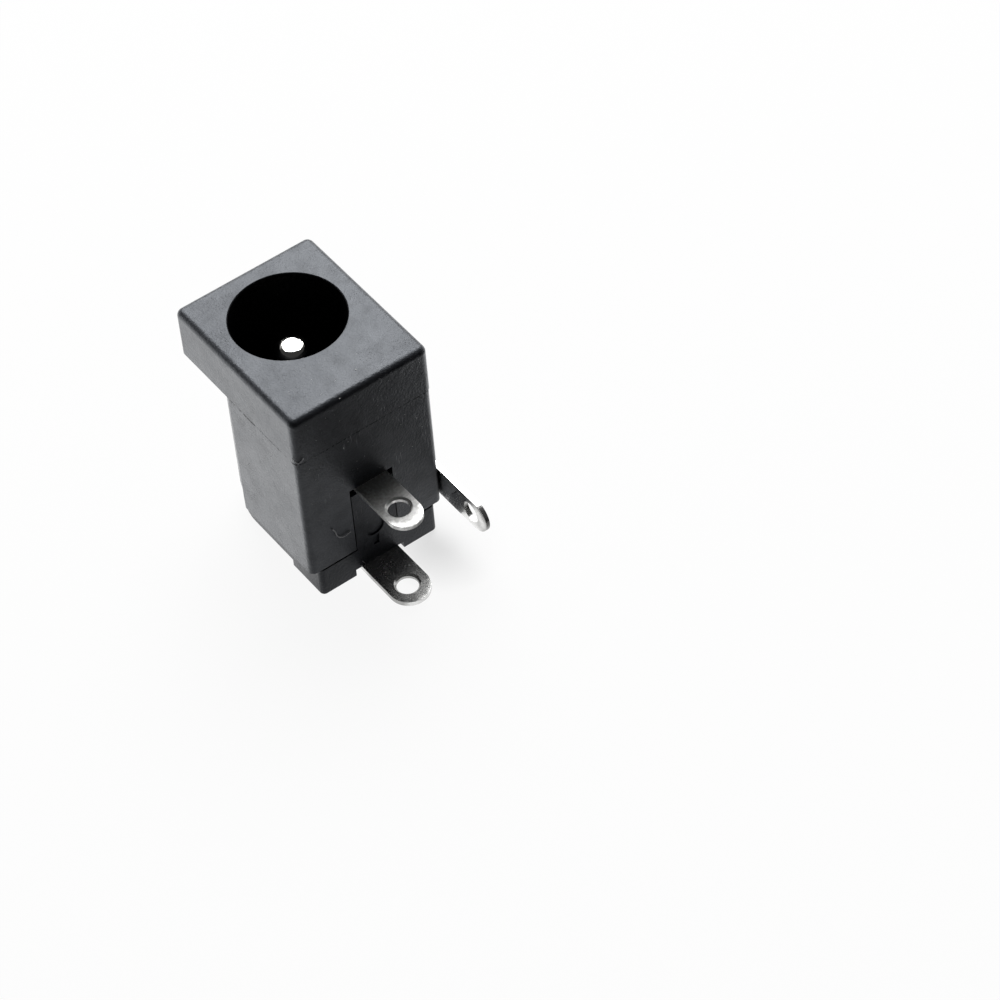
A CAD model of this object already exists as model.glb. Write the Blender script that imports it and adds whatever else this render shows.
import math
import random

import bmesh
import bpy
from mathutils import Matrix, Vector, noise


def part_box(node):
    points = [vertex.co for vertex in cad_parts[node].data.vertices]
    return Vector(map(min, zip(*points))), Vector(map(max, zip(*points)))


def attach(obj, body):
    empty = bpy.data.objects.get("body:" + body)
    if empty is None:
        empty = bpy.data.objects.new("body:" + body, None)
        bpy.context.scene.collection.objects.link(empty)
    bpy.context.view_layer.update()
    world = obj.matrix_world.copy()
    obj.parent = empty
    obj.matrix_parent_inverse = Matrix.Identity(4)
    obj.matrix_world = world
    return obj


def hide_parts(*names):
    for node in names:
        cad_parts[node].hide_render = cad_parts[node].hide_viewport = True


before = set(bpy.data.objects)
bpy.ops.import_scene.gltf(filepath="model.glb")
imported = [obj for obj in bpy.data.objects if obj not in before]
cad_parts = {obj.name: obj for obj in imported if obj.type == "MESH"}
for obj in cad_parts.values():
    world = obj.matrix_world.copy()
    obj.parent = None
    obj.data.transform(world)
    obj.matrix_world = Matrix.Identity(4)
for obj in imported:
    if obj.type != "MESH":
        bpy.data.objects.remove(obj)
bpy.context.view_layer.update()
mm = 0.001
root = "root"


# Housing. One black glass-filled moulding: square flange at the mouth, flat-sided body with an
# arched top, and a deep round socket. Its skin is a fine spark-eroded grain with handling marks.

class Wire:
    """One output of a shader node. Sums of wires and numbers add the Math nodes that they need."""

    def __init__(self, tree, socket=None):
        self.tree = tree
        self.socket = socket

    def node(self, kind, settings=None, inputs=None, output=0):
        """Adds a node. Its settings and a ramp's stops come first, then its inputs."""
        made = self.tree.nodes.new(kind)
        for name, value in (settings or {}).items():
            if name == "stops":
                stops = made.color_ramp.elements
                while len(stops) < len(value):
                    stops.new(1.0)
                for stop, (place, shade) in zip(stops, value):
                    stop.position = place
                    stop.color = (shade, shade, shade, 1)
            else:
                setattr(made, name, value)
        for name, value in (inputs or {}).items():
            if isinstance(value, Wire):
                self.tree.links.new(value.socket, made.inputs[name])
            else:
                made.inputs[name].default_value = value
        return Wire(self.tree, made.outputs[output] if made.outputs else None)

    def maths(self, operation, first, second):
        return self.node("ShaderNodeMath", {"operation": operation}, {0: first, 1: second})

    def __add__(self, other):
        return self.maths("ADD", self, other)

    def __radd__(self, other):
        return self.maths("ADD", other, self)

    def __sub__(self, other):
        return self.maths("SUBTRACT", self, other)

    def __rsub__(self, other):
        return self.maths("SUBTRACT", other, self)

    def __mul__(self, other):
        return self.maths("MULTIPLY", self, other)

    def __rmul__(self, other):
        return self.maths("MULTIPLY", other, self)

    def __truediv__(self, other):
        return self.maths("DIVIDE", self, other)


def new_material(name):
    """An empty node material and its tree."""
    material = bpy.data.materials.new(name)
    material.use_nodes = True
    material.node_tree.nodes.clear()
    return material, Wire(material.node_tree)


def object_place(tree):
    """Object coordinates, on which each pattern keeps its place."""
    return tree.node("ShaderNodeTexCoord", output="Object")


def cloud(tree, place, size, detail=2.0, seed=0.0):
    """Soft noise whose blotches are about the given size, from 0 to 1."""
    return tree.node("ShaderNodeTexNoise", {"noise_dimensions": "4D"},
                     {"Vector": place, "W": seed, "Scale": 1 / size, "Detail": detail})


def ramp(tree, value, *stops):
    """Turns a value into a grey: each stop is a place from 0 to 1 and its shade."""
    return tree.node("ShaderNodeValToRGB", {"stops": stops}, {"Fac": value})


def blend_colours(tree, factor, first, second):
    return tree.node("ShaderNodeMix", {"data_type": "RGBA"}, {0: factor, 6: first, 7: second}, 2)


def rubs(tree, place, length, width, turn, seed):
    """Short fine scratches that run one way: a cloud drawn out along one line, in a few patches."""
    thin_lines = ((0.66, 0.0), (0.72, 1.0))
    few_patches = ((0.55, 0.0), (0.63, 1.0))
    turned = tree.node("ShaderNodeMapping", {},
                       {"Vector": place, "Rotation": turn,
                        "Scale": (1 / width, 1 / width, 1 / length)})
    streak = tree.node("ShaderNodeTexNoise", {"noise_dimensions": "4D"},
                       {"Vector": turned, "W": seed, "Scale": 1.0, "Detail": 1.0})
    line = ramp(tree, streak, *thin_lines)
    patches = ramp(tree, cloud(tree, place, 2 * length, 1.0, seed), *few_patches)
    return line * patches


damped_black = (0.003, 0.003, 0.0035, 1)
damped_roughness = 0.35
damped_mirror = 0.05


def finish_material(tree, colour, roughness, height, depth, damped=None, **constants):
    """Principled surface with a bump of the given depth. Where it is damped it mirrors little."""
    bump = tree.node("ShaderNodeBump", {}, {"Height": height, "Distance": depth, "Strength": 1.0})
    shader = tree.node("ShaderNodeBsdfPrincipled", {},
                       {"Base Color": colour, "Roughness": roughness, "Normal": bump,
                        **{name.replace("_", " "): value for name, value in constants.items()}})
    if damped:
        soaked = tree.node("ShaderNodeBsdfPrincipled", {},
                           {"Base Color": damped_black, "Roughness": damped_roughness,
                            "Normal": bump, "Specular IOR Level": damped_mirror})
        shader = tree.node("ShaderNodeMixShader", {}, {0: damped, 1: shader, 2: soaked})
    tree.node("ShaderNodeOutputMaterial", {}, {"Surface": shader})


def moulded_black(name, seed, gloss):
    """Black moulding: grain, greyish handling marks, hairline scratches and a dead black bore."""
    pitch_black = (0.0060, 0.0066, 0.0098, 1)
    worn_black = (0.0135, 0.0145, 0.0185, 1)
    scuffed = (0.11, 0.112, 0.118, 1)
    cool_sheen = (0.88, 0.93, 1.0, 1)
    satin = 0.39
    skin_depth = 0.037 * mm
    smudge_share = 0.55
    scratch_share = 0.65
    spot_share = 0.2
    bore_skin = 3.27
    bore_edge = 3.31
    material, tree = new_material(name)
    place = object_place(tree)
    grain = cloud(tree, place, size=0.13 * mm, detail=4.0, seed=seed)
    mottle = cloud(tree, place, size=0.5 * mm, detail=4.0, seed=seed + 1)
    smudge_cloud = cloud(tree, place, size=2.6 * mm, detail=3.0, seed=seed + 2)
    smudge = ramp(tree, smudge_cloud, (0.38, 0.0), (0.68, 1.0))
    upright = rubs(tree, place, length=1.6 * mm, width=0.07 * mm, turn=(0.1, 0.06, 0),
                   seed=seed + 3)
    slanting = rubs(tree, place, length=0.9 * mm, width=0.055 * mm, turn=(1.2, 0.5, 0.3),
                    seed=seed + 4)
    lines = tree.maths("MAXIMUM", upright, slanting)
    handling = smudge * smudge_share + mottle * (1 - smudge_share)
    colour = blend_colours(tree, handling, pitch_black, worn_black)
    colour = blend_colours(tree, lines * scratch_share, colour, scuffed)
    flat_place = tree.node("ShaderNodeVectorMath", {"operation": "MULTIPLY"},
                           {0: place, 1: (1 / mm, 1 / mm, 0)})
    from_axis = tree.node("ShaderNodeVectorMath", {"operation": "LENGTH"}, {0: flat_place}, "Value")
    inside = ramp(tree, from_axis / 10, (bore_skin / 10, 1.0), (bore_edge / 10, 0.0))
    spot_cloud = cloud(tree, place, size=1.0 * mm, detail=3.0, seed=seed + 5)
    spots = ramp(tree, spot_cloud, (0.46, 0.0), (0.7, 1.0))
    damped = tree.maths("MAXIMUM", inside, spots * spot_share - lines * spot_share)
    roughness = satin + smudge * 0.05 + mottle * 0.05 + grain * 0.06
    height = grain * 0.8 + mottle * 0.2 - lines * 0.4
    finish_material(tree, colour, roughness, height, skin_depth, damped,
                    Specular_IOR_Level=gloss, Specular_Tint=cool_sheen)
    return material


def dress(node, material):
    """The CAD node keeps its shape and takes this finish."""
    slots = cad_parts[node].data.materials
    slots.clear()
    slots.append(material)


dress("housing", moulded_black("housing_black", seed=1.0, gloss=0.78))


# Rear insert. The second black moulding, pressed into the back of the housing. It carries the
# pin, its tongue fills the notch under the sleeve tail, and its two lugs hold the rear terminal.

dress("rear_insert", moulded_black("insert_black", seed=7.0, gloss=0.4))


# Centre pin. Turned brass, nickel plated, with a rounded nose. Its rear end is peened over the
# rear terminal.

def plated(name, seed, bright, dull, low, high, grit_size=0.1 * mm, gritty=0.0, film=0.0, dip=None):
    """Bright plating with rub marks, dull patches and a thin film. A dip leaves its end rough."""
    skin_depth = 0.004 * mm
    patch_share = 0.5
    worn_share = 0.4 * gritty
    worn_roughness = 0.07 * gritty
    scratch_roughness = 0.15
    material, tree = new_material(name)
    place = object_place(tree)
    ripple = cloud(tree, place, size=0.35 * mm, detail=3.0, seed=seed)
    grit = cloud(tree, place, grit_size, detail=3.0, seed=seed + 3)
    patch_cloud = cloud(tree, place, size=0.9 * mm, detail=3.0, seed=seed + 1)
    dull_patch = ramp(tree, patch_cloud, (0.42, 0.0), (0.66, 1.0))
    lines = rubs(tree, place, length=0.7 * mm, width=0.03 * mm, turn=(1.35, 0.4, 0.2),
                 seed=seed + 2)
    worn = ramp(tree, grit, (0.24, 0.0), (0.7, 1.0))
    dulled = dull_patch * patch_share + worn * worn_share
    colour = blend_colours(tree, dulled, bright, dull)
    roughness = (low + dull_patch * (high - low) + worn * worn_roughness
                 + lines * scratch_roughness)
    if dip:
        line_from, line_to, extra = dip
        along = tree.node("ShaderNodeSeparateXYZ", {}, {0: place}, 1)
        dipped = ramp(tree, (line_from - along) / (line_from - line_to), (0.0, 0.0), (1.0, 1.0))
        roughness = roughness + dipped * extra
    height = ripple - lines * 0.4 + grit * gritty
    finish_material(tree, colour, roughness, height, skin_depth, Metallic=1 - film)
    return material


nickel = (0.80, 0.79, 0.76, 1)
dull_nickel = (0.62, 0.60, 0.55, 1)
dress("centre_pin", plated("pin_nickel", 11.0, nickel, dull_nickel, low=0.07, high=0.16))


# Rear terminal. Stamped strip of tinned brass, riveted under the pin's rear end, with a round
# tail and a soldering hole.

tin = (0.90, 0.90, 0.89, 1)
dull_tin = (0.50, 0.50, 0.49, 1)
rear_tin = plated("rear_tin", 17.0, tin, dull_tin, low=0.17, high=0.3, gritty=0.9, film=0.14)


def node_copy(node):
    """A copy of the CAD node's mesh with its loose triangles joined, ready for finer work."""
    weld_reach = 0.0005 * mm
    shape = bmesh.new()
    shape.from_mesh(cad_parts[node].data)
    bmesh.ops.remove_doubles(shape, verts=shape.verts, dist=weld_reach)
    return shape


x_axis = 0
z_axis = 2


def slice_tail(shape, across, low, high):
    """Cuts the tail's faces beyond the board into small squares, so that its skin can bend."""
    cut_reach = 0.0002 * mm
    tip_y = min(v.co.y for v in shape.verts)
    normal = [0.0, 0.0, 0.0]
    normal[across] = 1.0
    rows = range(round(tip_y / tail_step), round(board_y / tail_step))
    cuts = [((0, row * tail_step, 0), (0, 1, 0)) for row in rows]
    for column in range(1, round((high - low) / tail_step)):
        place = [0.0, 0.0, 0.0]
        place[across] = low + column * tail_step
        cuts.append((place, normal))
    for place, direction in cuts:
        faces = [f for f in shape.faces if f.calc_center_median().y < board_y]
        edges = {e for f in faces for e in f.edges}
        verts = {v for f in faces for v in f.verts}
        bmesh.ops.bisect_plane(shape, geom=list(verts) + list(edges) + faces, dist=cut_reach,
                               plane_co=place, plane_no=direction)


def round_over(shape, across, through, level, centre, half_width, reach, depth, fade):
    """Rolls the stamped edge of one flat side down, from the hole to the round tip."""
    flat_reach = 0.001 * mm
    least_roll = 0.1
    fade_from, fade_to = fade
    tip_y = min(v.co.y for v in shape.verts)
    for v in shape.verts:
        if abs(v.co[through] - level) > flat_reach:
            continue
        beside = v.co[across] - centre
        beyond = min(v.co.y - tip_y - half_width, 0)
        edge = half_width - math.hypot(beside, beyond)
        nearness = min(max(1 - edge / reach, 0), 1)
        tipness = least_roll + (1 - least_roll) * min(-beyond / half_width, 1)
        along = min(max((fade_from - v.co.y) / (fade_from - fade_to), 0), 1)
        v.co[through] -= depth * tipness * nearness ** 2 * along ** 2 * (3 - 2 * along)


def smooth_piece(shape, name, material):
    """Makes the object, smooth but for its sharp edges, and fastens it to the part."""
    sharp = math.radians(28)
    for face in shape.faces:
        face.smooth = True
    for edge in shape.edges:
        edge.smooth = len(edge.link_faces) == 2 and edge.calc_face_angle(0) < sharp
    data = bpy.data.meshes.new(name)
    shape.to_mesh(data)
    shape.free()
    data.materials.append(material)
    piece = bpy.data.objects.new(name, data)
    bpy.context.scene.collection.objects.link(piece)
    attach(piece, root)
    return piece


board_y = -6.75 * mm
tail_step = 0.11 * mm
rear_low, rear_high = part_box("rear_terminal")
rear_half = 1.225 * mm
rear_roll_reach = 0.16 * mm
rear_roll_depth = 0.006 * mm
rear_roll_fade = (rear_low.y + 3.2 * mm, rear_low.y + 1.4 * mm)
rear_shape = node_copy("rear_terminal")
slice_tail(rear_shape, x_axis, -rear_half, rear_half)
round_over(rear_shape, x_axis, z_axis, level=rear_high.z, centre=0, half_width=rear_half,
           reach=rear_roll_reach, depth=rear_roll_depth, fade=rear_roll_fade)
rear_piece = smooth_piece(rear_shape, "rear_terminal_tinned", rear_tin)
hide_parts("rear_terminal")


# Sleeve spring. Tinned phosphor bronze: the tail comes out of the notch, the strip runs back
# inside and folds forward into the socket, where it presses on the plug's sleeve.

sleeve_tip_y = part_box("sleeve_spring")[0].y
sleeve_half = 1.04 * mm
sleeve_tail_top = 6.92 * mm
roll_reach = 0.44 * mm
sleeve_roll_depth = 0.062 * mm
sleeve_roll_fade = (sleeve_tip_y + 2.4 * mm, sleeve_tip_y + 0.6 * mm)
sleeve_dip = (-8.6 * mm, -9.9 * mm, 0.03)
sleeve_shape = node_copy("sleeve_spring")
slice_tail(sleeve_shape, x_axis, -sleeve_half, sleeve_half)
round_over(sleeve_shape, x_axis, z_axis, level=sleeve_tail_top, centre=0, half_width=sleeve_half,
           reach=roll_reach, depth=sleeve_roll_depth, fade=sleeve_roll_fade)
sleeve_tin = plated("spring_tin", 23.0, tin, dull_tin, low=0.25, high=0.31, grit_size=0.17 * mm,
                    gritty=2.2, film=0.26, dip=sleeve_dip)
sleeve_piece = smooth_piece(sleeve_shape, "sleeve_spring_tinned", sleeve_tin)
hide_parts("sleeve_spring")


# Side terminal. Tinned plate on the outside wall, folded in at the rear joint, with a finger
# that touches the sleeve spring until a plug lifts it away.

side_low, side_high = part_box("side_terminal")
side_half = 1.02 * mm
side_edge = side_low.z + 0.24 * mm
side_centre = side_edge + side_half
plate_thickness = 0.3 * mm
side_face = side_high.x - plate_thickness
side_roll_depth = -0.06 * mm
side_roll_fade = (side_low.y + 2.9 * mm, side_low.y + 1.3 * mm)
side_dip = (-8.7 * mm, -9.3 * mm, 0.1)
side_shape = node_copy("side_terminal")
slice_tail(side_shape, z_axis, side_edge, side_edge + 2 * side_half)
round_over(side_shape, z_axis, x_axis, level=side_face, centre=side_centre, half_width=side_half,
           reach=roll_reach, depth=side_roll_depth, fade=side_roll_fade)
side_tin = plated("side_tin", 29.0, tin, dull_tin, low=0.12, high=0.24, gritty=0.2, dip=side_dip)
side_piece = smooth_piece(side_shape, "side_terminal_tinned", side_tin)
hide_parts("side_terminal")


# Moulding flash. A hair of ragged plastic that the mould's parting left behind the flange, down
# one side, across the board side and up the other. It hangs lowest near the left corner.

def plain_finish(name, colour, roughness):
    material, tree = new_material(name)
    shader = tree.node("ShaderNodeBsdfPrincipled", {},
                       {"Base Color": colour, "Roughness": roughness})
    tree.node("ShaderNodeOutputMaterial", {}, {"Surface": shader})
    return material


def loose_piece(shape, name, material):
    """A piece of its own, closed and with its faces outwards."""
    bmesh.ops.recalc_face_normals(shape, faces=shape.faces)
    return smooth_piece(shape, name, material)


flash_black = (0.0025, 0.0025, 0.003, 1)
flange_x = 4.45 * mm
flange_y = 6.7 * mm
flange_corner = 0.42 * mm
flange_edge_z = 11.1 * mm
crease_y = -0.25 * mm
side_run = flange_y - flange_corner + crease_y
front_run = 2 * (flange_x - flange_corner)
turn_run = flange_corner * math.pi / 2
flash_run = 2 * side_run + 2 * turn_run + front_run


def flange_rim(along):
    """Place on the flange's outline and the way out of it: down one side, across, and up."""
    if along < side_run:
        return Vector((-flange_x, crease_y - along, 0)), Vector((-1, 0, 0))
    along -= side_run
    if along < turn_run:
        angle = along / flange_corner
        out = Vector((-math.cos(angle), -math.sin(angle), 0))
        centre = Vector((flange_corner - flange_x, flange_corner - flange_y, 0))
        return centre + out * flange_corner, out
    along -= turn_run
    if along < front_run:
        return Vector((flange_corner - flange_x + along, -flange_y, 0)), Vector((0, -1, 0))
    along -= front_run
    if along < turn_run:
        angle = along / flange_corner
        out = Vector((math.sin(angle), -math.cos(angle), 0))
        centre = Vector((flange_x - flange_corner, flange_corner - flange_y, 0))
        return centre + out * flange_corner, out
    return Vector((flange_x, flange_corner - flange_y + along - turn_run, 0)), Vector((1, 0, 0))


torn_middle = 2.1
torn_reach = 1.4
ragged_length = 0.5 * mm
fine_length = 0.13 * mm
bare_hang = 0.04
torn_hang = 0.035
ragged_hang = 0.13
fine_hang = 0.12
least_hang = 0.004
flash_cuts = 320
flash_overlap = 0.01 * mm
outer_inset = 0.003 * mm
inner_inset = 0.06 * mm
flash = bmesh.new()
bmesh.ops.create_cube(flash, size=1.0)
lengthwise = [e for e in flash.edges if abs(e.verts[0].co.x - e.verts[1].co.x) > 0.5]
bmesh.ops.subdivide_edges(flash, edges=lengthwise, cuts=flash_cuts, use_grid_fill=True)
for v in flash.verts:
    along = (v.co.x + 0.5) * flash_run
    rim, out = flange_rim(along)
    ragged = noise.noise(Vector((along / ragged_length, 3.0, 0)))
    fine = noise.noise(Vector((along / fine_length, 8.0, 0)))
    torn = max(1 - abs(along / mm - torn_middle) / torn_reach, 0)
    hang = bare_hang + torn_hang * torn + ragged_hang * ragged + fine_hang * fine
    hang = max(hang, least_hang) * mm
    level = flange_edge_z + flash_overlap if v.co.z > 0 else flange_edge_z - hang
    inset = outer_inset if v.co.y > 0 else inner_inset
    v.co = rim - out * inset + Vector((0, 0, level))
loose_piece(flash, "parting_flash", plain_finish("flash_black", flash_black, 0.8))


# Lint. One curled fibre on the board side, whiskers of torn flash at the left corner, and two
# short hairs on the insert's tongue. They lie on the plastic.

lint_grey = (0.30, 0.30, 0.31, 1)


def thread(shape, points, radius):
    """Thin fibre along the points: a small round that is drawn on from point to point."""
    fibre_sides = 8
    spots = [Vector(point) * mm for point in points]
    first_turn = (spots[1] - spots[0]).to_track_quat("Z", "Y")
    start = Matrix.Translation(spots[0]) @ first_turn.to_matrix().to_4x4()
    ring = bmesh.ops.create_circle(shape, cap_ends=True, radius=radius * mm,
                                   segments=fibre_sides, matrix=start)
    cap = ring["verts"][0].link_faces[0]
    before = first_turn
    for here, there, after in zip(spots, spots[1:], spots[2:] + spots[-1:]):
        ahead = after - here if after != there else there - here
        turn = ahead.to_track_quat("Z", "Y")
        drawn = bmesh.ops.extrude_face_region(shape, geom=[cap])["geom"]
        verts = [part for part in drawn if isinstance(part, bmesh.types.BMVert)]
        cap = [part for part in drawn if isinstance(part, bmesh.types.BMFace)][0]
        bend = (turn @ before.inverted()).to_matrix().to_4x4()
        move = Matrix.Translation(there) @ bend @ Matrix.Translation(-here)
        bmesh.ops.transform(shape, matrix=move, verts=verts)
        before = turn


curled_fibre = ((-2.82, -6.73, 4.92), (-2.71, -6.74, 4.72), (-2.64, -6.75, 4.49),
                (-2.59, -6.76, 4.23), (-2.45, -6.77, 4.01), (-2.25, -6.77, 3.89),
                (-2.07, -6.76, 3.87), (-1.82, -6.74, 3.90), (-1.70, -6.73, 3.95))
long_whisker = ((-4.30, -6.66, 11.20), (-4.20, -6.72, 11.26), (-4.10, -6.75, 11.35),
                (-3.99, -6.76, 11.50))
short_whisker = ((-4.47, -6.42, 11.55), (-4.44, -6.56, 11.42), (-4.33, -6.66, 11.25))
upper_hair = ((-1.19, -6.68, 1.02), (-1.02, -6.68, 0.72))
lower_hair = ((-1.33, -6.68, 0.75), (-1.20, -6.68, 0.62))
lint = bmesh.new()
for points, radius in ((curled_fibre, 0.034), (long_whisker, 0.03), (short_whisker, 0.022),
                       (upper_hair, 0.02), (lower_hair, 0.02)):
    thread(lint, points, radius)
loose_piece(lint, "lint", plain_finish("lint_grey", lint_grey, 0.7))


# Dust. White specks: one on the mouth's face, one at its edge, five on the rear tail, and a fine
# scatter over the board side, the left side and the mouth's face.

dust_white = (0.82, 0.82, 0.8, 1)
board_side, board_specks = -6.70, 46
left_side, left_specks = -4.45, 26
mouth_side, mouth_specks = 14.30, 26
rear_tail_face = 0.56
finest = 0.008
coarse = 0.02
coarsest = 0.022
dust = bmesh.new()


def speck(x, y, z, radius):
    """One speck of dust, a little flattened, at a place in millimetres."""
    grown = bmesh.ops.create_icosphere(dust, subdivisions=1, radius=radius * mm)
    squeeze = Matrix.Diagonal((1.0, 0.7, 0.8, 1.0))
    bmesh.ops.transform(dust, matrix=Matrix.Translation(Vector((x, y, z)) * mm) @ squeeze,
                        verts=grown["verts"])


speck(0.53, -5.59, 14.31, 0.045)
speck(-1.28, -6.66, 14.2, 0.035)
for x, y, radius in ((-0.06, -7.40, 0.045), (-0.45, -7.83, 0.055), (-0.63, -8.24, 0.04),
                     (0.83, -8.23, 0.065), (0.62, -8.16, 0.045)):
    speck(x, y, rear_tail_face, radius)
luck = random.Random(5)
for count in range(board_specks):
    speck(luck.uniform(-3.9, 3.9), board_side, luck.uniform(7.4, 13.8),
          luck.uniform(finest, coarse))
for count in range(left_specks):
    speck(left_side, luck.uniform(-6.2, -0.4), luck.uniform(3.0, 13.8),
          luck.uniform(finest, coarsest))
for count in range(mouth_specks):
    speck(luck.uniform(-4.1, 4.1), luck.uniform(-6.3, -3.6), mouth_side,
          luck.uniform(finest, coarsest))
loose_piece(dust, "dust", plain_finish("dust_white", dust_white, 0.8))


# Table, light and camera. A white sheet under the part, one soft lamp behind and above it, a
# room that is dark on the near left, and the long lens of the photograph.

shaded_corner = Vector((3.6, -7.9, 0)) * mm
rear_tail_tip = Vector((0.2, -11.0, 0)) * mm
dim_middle = Vector((6.0, -15.0, 0)) * mm
sheet_white = 0.8
white_share = 0.92
shadow_share = 0.27
glow_strength = 2.35


def round_patch(tree, place, centre, *stops):
    """Shade by the distance from a point on the sheet. The stops are in centimetres."""
    away = tree.node("ShaderNodeVectorMath", {"operation": "DISTANCE"},
                     {0: place, 1: centre}, "Value")
    return ramp(tree, away / (10 * mm), *stops)


def straight_band(tree, way, *stops):
    """Shade along one axis of the sheet. The stops are in millimetres, from -20 to 20."""
    span = 40
    return ramp(tree, way / (span * mm) + 0.5,
                *((spot / span + 0.5, shade) for spot, shade in stops))


def floor_material():
    """White to the camera but for a soft shadow. Shiny faces mirror a floor with darker parts."""
    material, tree = new_material("white_sheet")
    place = object_place(tree)
    lit = tree.node("ShaderNodeBsdfDiffuse", {},
                    {"Color": (sheet_white, sheet_white, sheet_white, 1)})
    white = tree.node("ShaderNodeEmission", {}, {"Color": (1, 1, 1, 1), "Strength": 1.0})
    seen = tree.node("ShaderNodeLightPath", output="Is Camera Ray")
    shaded = round_patch(tree, place, shaded_corner, (0.05, 1.0), (0.36, 0.0))
    shown = tree.node("ShaderNodeMixShader", {},
                      {0: seen * (white_share - shaded * shadow_share), 1: lit, 2: white})
    across = tree.node("ShaderNodeSeparateXYZ", {}, {0: place}, 0)
    along = tree.node("ShaderNodeSeparateXYZ", {}, {0: place}, 1)
    bright = straight_band(tree, along, (-20, 0.0), (-16.4, 0.11), (-10.4, 0.23), (-7.4, 0.25),
                           (-3.2, 1.0))
    bright = bright * (1 - round_patch(tree, place, dim_middle, (0.2, 0.6), (0.5, 0.0)))
    right = straight_band(tree, across, (0.4, 0.0), (1.6, 1.0))
    close = straight_band(tree, along, (-10.4, 0.0), (-8.8, 1.0))
    far_right = straight_band(tree, across, (10, 0.0), (12.4, 1.0))
    not_far = straight_band(tree, along, (-18.8, 0.0), (-14.8, 1.0))
    left = straight_band(tree, across, (2, 0.5), (4.8, 0.0))
    beyond = straight_band(tree, along, (-13.6, 1.0), (-10.4, 0.0))
    under_tail = round_patch(tree, place, rear_tail_tip, (0.12, 0.42), (0.2, 0.0))
    for patch in (right * close * 0.42, far_right * not_far, left * not_far * beyond, under_tail):
        bright = tree.maths("MAXIMUM", bright, patch)
    glow = tree.node("ShaderNodeEmission", {}, {"Color": bright, "Strength": glow_strength})
    mirrored = tree.node("ShaderNodeLightPath", output="Is Glossy Ray")
    both = tree.node("ShaderNodeMixShader", {}, {0: mirrored, 1: shown, 2: glow})
    tree.node("ShaderNodeOutputMaterial", {}, {"Surface": both})
    return material


floor_half = 1.2
sheet_mesh = bmesh.new()
bmesh.ops.create_grid(sheet_mesh, x_segments=1, y_segments=1, size=floor_half)
floor_data = bpy.data.meshes.new("floor")
sheet_mesh.to_mesh(floor_data)
sheet_mesh.free()
floor = bpy.data.objects.new("floor", floor_data)
bpy.context.scene.collection.objects.link(floor)
floor_data.materials.append(floor_material())

part_middle = Vector((0, 0, 7 * mm))
lamp_place = Vector((0.13, 0.17, 0.29))
lamp_side = 0.26
lamp_radiance = 7.6
lamp = bpy.data.lights.new("back_top_light", "AREA")
lamp.shape = "RECTANGLE"
lamp.size = lamp_side
lamp.size_y = lamp_side
lamp.energy = lamp_radiance * lamp_side * lamp_side * math.pi
lamp_holder = bpy.data.objects.new("back_top_light", lamp)
lamp_holder.location = lamp_place
lamp_holder.rotation_euler = (part_middle - lamp_place).to_track_quat("-Z", "Y").to_euler()
bpy.context.scene.collection.objects.link(lamp_holder)

dark_side = Vector((-0.36, -0.62, 0.69)).normalized()
backdrop_strength = 0.97
world = bpy.data.worlds.new("studio")
bpy.context.scene.world = world
world.use_nodes = True
world.node_tree.nodes.clear()
air = Wire(world.node_tree)
seen = air.node("ShaderNodeLightPath", output="Is Camera Ray")
direction = air.node("ShaderNodeTexCoord", output="Generated")
facing = air.node("ShaderNodeVectorMath", {"operation": "DOT_PRODUCT"},
                  {0: direction, 1: dark_side}, "Value")
tent = ramp(air, facing * 0.5 + 0.5, (0.42, 0.95), (0.58, 0.04))
around = air.node("ShaderNodeBackground", {}, {"Color": tent, "Strength": 1.0})
behind = air.node("ShaderNodeBackground", {},
                  {"Color": (1, 1, 1, 1), "Strength": backdrop_strength})
shown = air.node("ShaderNodeMixShader", {}, {0: seen, 1: around, 2: behind})
air.node("ShaderNodeOutputWorld", {}, {"Surface": shown})

aim_on_floor = Vector((7.86, -7.19, 0)) * mm
camera_forward = Vector((0.36347, 0.55548, -0.74788))
camera_right = Vector((0.79964, -0.59791, -0.05548))
camera_distance = 211.77 * mm
back = -camera_forward.normalized()
up = back.cross(camera_right).normalized()
side = up.cross(back)
turn = Matrix((side, up, back)).transposed()
camera_data = bpy.data.cameras.new("camera")
camera_data.sensor_width = 36.0
camera_data.lens = 135.9
camera_data.clip_start = 0.01
camera_data.clip_end = 10.0
camera = bpy.data.objects.new("camera", camera_data)
camera.matrix_world = Matrix.Translation(aim_on_floor + back * camera_distance) @ turn.to_4x4()
bpy.context.scene.collection.objects.link(camera)
bpy.context.scene.camera = camera
bpy.context.scene.view_settings.view_transform = "Standard"
